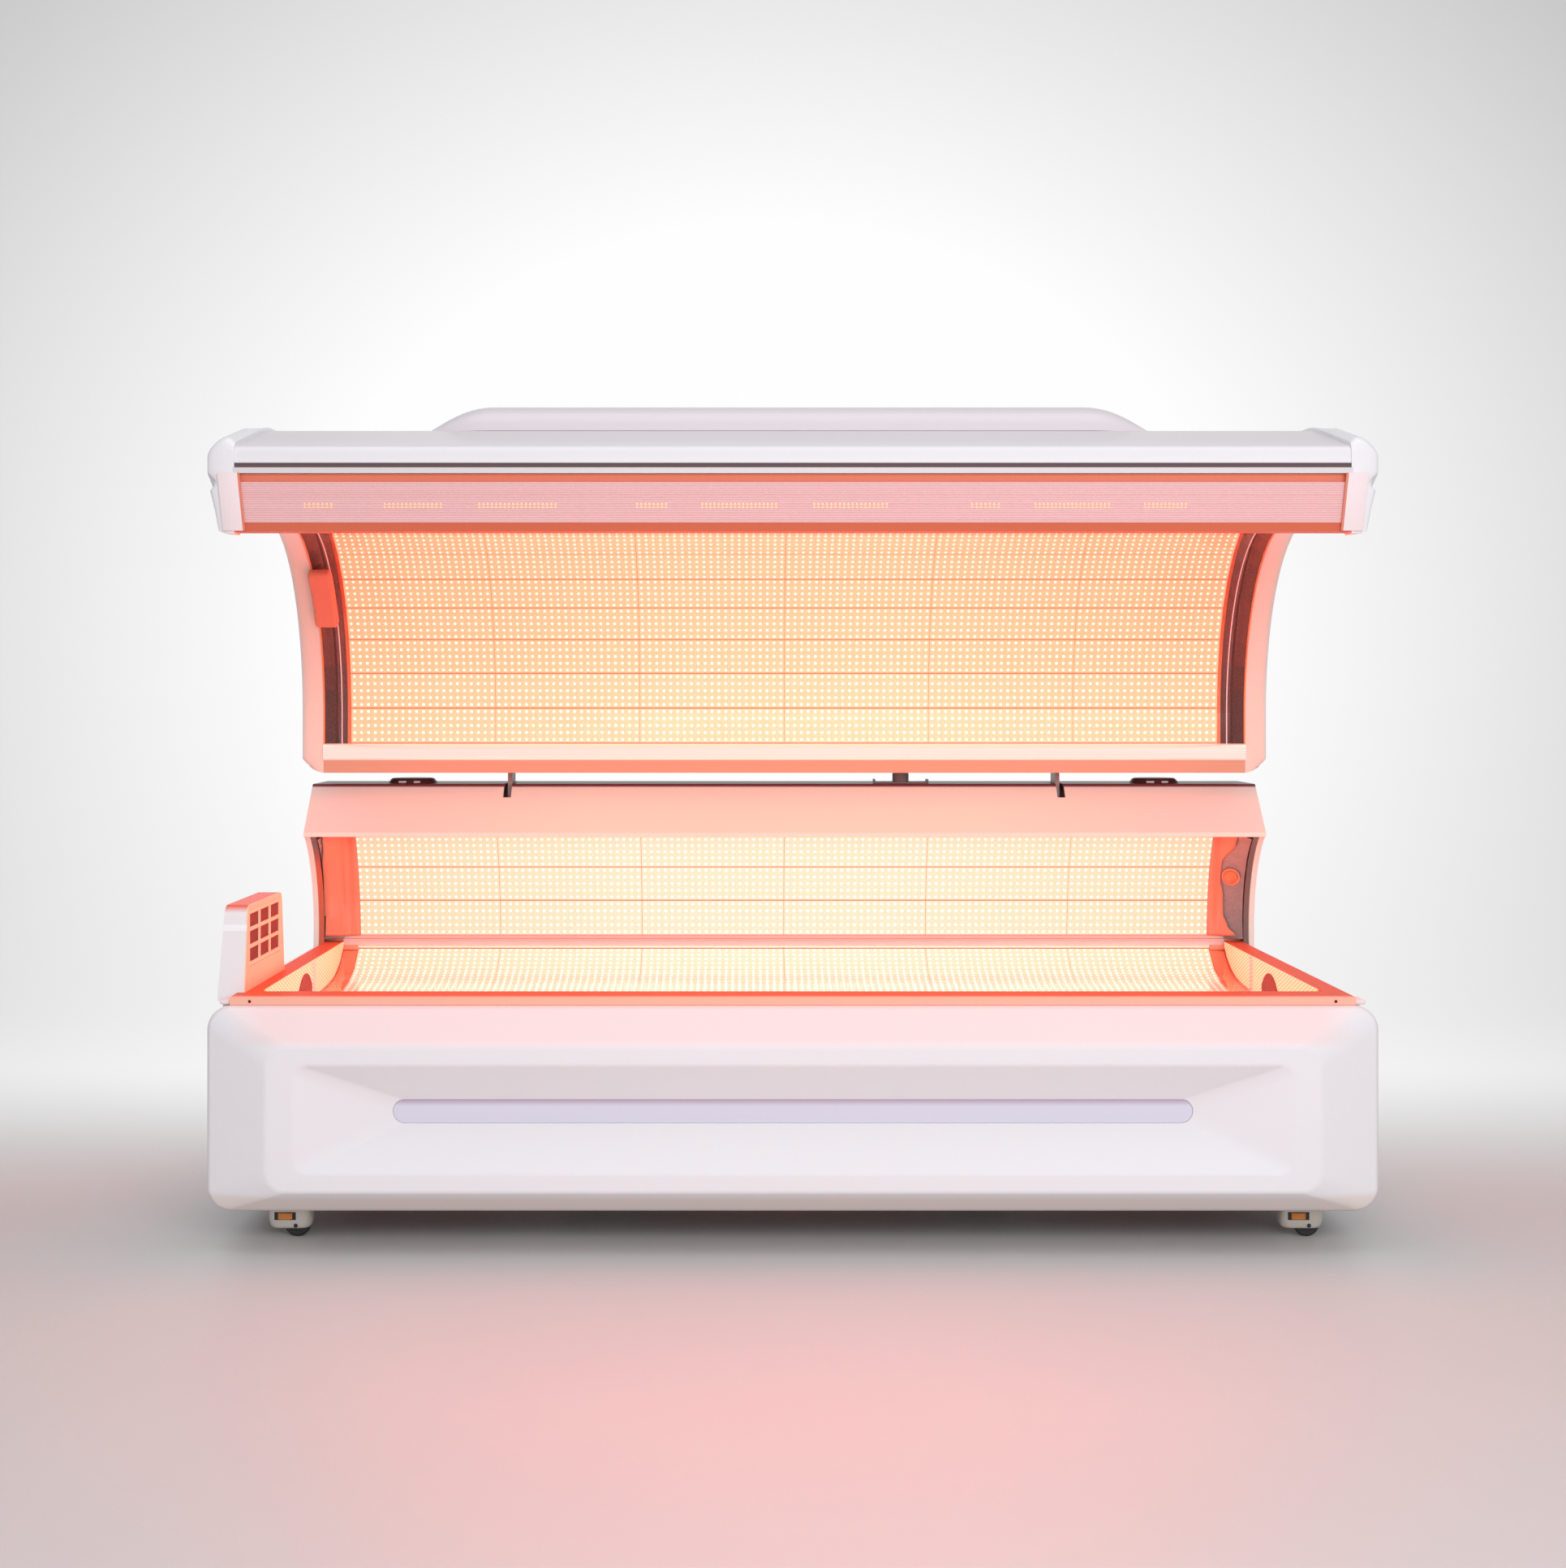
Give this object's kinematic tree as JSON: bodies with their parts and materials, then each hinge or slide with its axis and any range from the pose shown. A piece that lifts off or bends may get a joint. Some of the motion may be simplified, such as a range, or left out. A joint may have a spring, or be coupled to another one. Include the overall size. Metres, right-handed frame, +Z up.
{
  "type": "red light therapy bed",
  "caption": "Lying bed with LED boards under a curved clear sheet, a sloped rear visor and a hinged LED canopy that closes over the user, on swivel castors.",
  "frame": {"origin": "on the floor under the middle of the object", "axes": "+X along the bed to the foot end, +Y from the front to the back, +Z up"},
  "size_m": [2.2, 1.25, 1.6294],
  "materials": {
    "white_moulding": "gloss moulded plastic",
    "blush_plastic": "gloss plastic lit by the boards",
    "coral_plastic": "gloss plastic lit by the boards",
    "led_board": "metal-core LED boards",
    "clear_acrylic": "clear acrylic",
    "diffuser": "opal diffuser",
    "ribbed_aluminium": "satin extrusion",
    "polished_strip": "mirror polished",
    "steel": "painted steel",
    "castor_hood": "cast and painted",
    "black_plastic": "matt",
    "orange_plastic": "satin"
  },
  "bodies": {
    "base": {"front_panel": "white_moulding", "left_end_panel": "white_moulding", "right_end_panel": "white_moulding", "rear_cover": "white_moulding", "tower_shell": "white_moulding", "seam_rail": "blush_plastic", "rear_visor": "blush_plastic", "left_cheek": "blush_plastic", "right_cheek": "blush_plastic", "left_vent_cap": "blush_plastic", "right_vent_cap": "blush_plastic", "tower_grille": "blush_plastic", "bed_rim": "coral_plastic", "bed_led_panel": "led_board", "rear_led_panel": "led_board", "bed_acrylic": "clear_acrylic", "front_light_bar": "diffuser", "stop_button_bezel": "ribbed_aluminium", "left_bed_reflector": "polished_strip", "right_bed_reflector": "polished_strip", "chassis_frame": "steel", "cable_spout": "steel", "left_hinge_bracket": "steel", "right_hinge_bracket": "steel", "left_hinge_pin": "steel", "right_hinge_pin": "steel", "left_spring_drum": "steel", "right_spring_drum": "steel", "left_led_driver": "steel", "right_led_driver": "steel", "power_inlet": "black_plastic", "control_box": "black_plastic"},
    "canopy": {"canopy_shell": "white_moulding", "canopy_top_cover": "white_moulding", "canopy_left_cap": "blush_plastic", "canopy_right_cap": "blush_plastic", "canopy_grab_block": "coral_plastic", "canopy_led_panel": "led_board", "canopy_acrylic": "clear_acrylic", "canopy_front_extrusion": "ribbed_aluminium", "canopy_trim_strip": "ribbed_aluminium", "canopy_lower_rail": "ribbed_aluminium", "canopy_left_reflector": "polished_strip", "canopy_right_reflector": "polished_strip", "left_hinge_arm": "steel", "right_hinge_arm": "steel"},
    "stop_button": {"stop_button": "orange_plastic"},
    "fan_rotor": {"tower_fan_rotor": "black_plastic"},
    "front_left_castor": {"front_left_castor_hood": "castor_hood"},
    "front_left_wheel": {"front_left_castor_wheel": "black_plastic"},
    "front_left_dial": {"front_left_castor_dial": "orange_plastic"},
    "front_right_castor": {"front_right_castor_hood": "castor_hood"},
    "front_right_wheel": {"front_right_castor_wheel": "black_plastic"},
    "front_right_dial": {"front_right_castor_dial": "orange_plastic"},
    "rear_left_castor": {"rear_left_castor_hood": "castor_hood"},
    "rear_left_wheel": {"rear_left_castor_wheel": "black_plastic"},
    "rear_left_dial": {"rear_left_castor_dial": "orange_plastic"},
    "rear_right_castor": {"rear_right_castor_hood": "castor_hood"},
    "rear_right_wheel": {"rear_right_castor_wheel": "black_plastic"},
    "rear_right_dial": {"rear_right_castor_dial": "orange_plastic"}
  },
  "joints": [
    {"name": "canopy_hinge", "type": "hinge", "parent": "base", "child": "canopy", "pos_m": [0, 0.485, 0.755], "axis": [1, 0, 0], "range_deg": [0, 42]},
    {"name": "stop_button_press", "type": "slide", "parent": "base", "child": "stop_button", "axis": [0.3107, 0.8778, 0.3645], "range_m": [0, 0.005], "stiffness_N_per_m": 600},
    {"name": "fan_spin", "type": "hinge", "parent": "base", "child": "fan_rotor", "pos_m": [-1.097, -0.3, 0.5715], "axis": [1, 0, 0], "continuous": true},
    {"name": "front_left_swivel", "type": "hinge", "parent": "base", "child": "front_left_castor", "pos_m": [-0.97, -0.455, 0.05], "axis": [0, 0, 1], "continuous": true},
    {"name": "front_left_roll", "type": "hinge", "parent": "front_left_castor", "child": "front_left_wheel", "pos_m": [-0.95, -0.455, 0.025], "axis": [0, 1, 0], "continuous": true},
    {"name": "front_left_level", "type": "hinge", "parent": "front_left_castor", "child": "front_left_dial", "pos_m": [-0.97, -0.455, 0.057], "axis": [0, 0, 1], "continuous": true},
    {"name": "front_right_swivel", "type": "hinge", "parent": "base", "child": "front_right_castor", "pos_m": [0.97, -0.455, 0.05], "axis": [0, 0, 1], "continuous": true},
    {"name": "front_right_roll", "type": "hinge", "parent": "front_right_castor", "child": "front_right_wheel", "pos_m": [0.99, -0.455, 0.025], "axis": [0, 1, 0], "continuous": true},
    {"name": "front_right_level", "type": "hinge", "parent": "front_right_castor", "child": "front_right_dial", "pos_m": [0.97, -0.455, 0.057], "axis": [0, 0, 1], "continuous": true},
    {"name": "rear_left_swivel", "type": "hinge", "parent": "base", "child": "rear_left_castor", "pos_m": [-0.97, 0.505, 0.05], "axis": [0, 0, 1], "continuous": true},
    {"name": "rear_left_roll", "type": "hinge", "parent": "rear_left_castor", "child": "rear_left_wheel", "pos_m": [-0.95, 0.505, 0.025], "axis": [0, 1, 0], "continuous": true},
    {"name": "rear_left_level", "type": "hinge", "parent": "rear_left_castor", "child": "rear_left_dial", "pos_m": [-0.97, 0.505, 0.057], "axis": [0, 0, 1], "continuous": true},
    {"name": "rear_right_swivel", "type": "hinge", "parent": "base", "child": "rear_right_castor", "pos_m": [0.97, 0.505, 0.05], "axis": [0, 0, 1], "continuous": true},
    {"name": "rear_right_roll", "type": "hinge", "parent": "rear_right_castor", "child": "rear_right_wheel", "pos_m": [0.99, 0.505, 0.025], "axis": [0, 1, 0], "continuous": true},
    {"name": "rear_right_level", "type": "hinge", "parent": "rear_right_castor", "child": "rear_right_dial", "pos_m": [0.97, 0.505, 0.057], "axis": [0, 0, 1], "continuous": true}
  ]
}
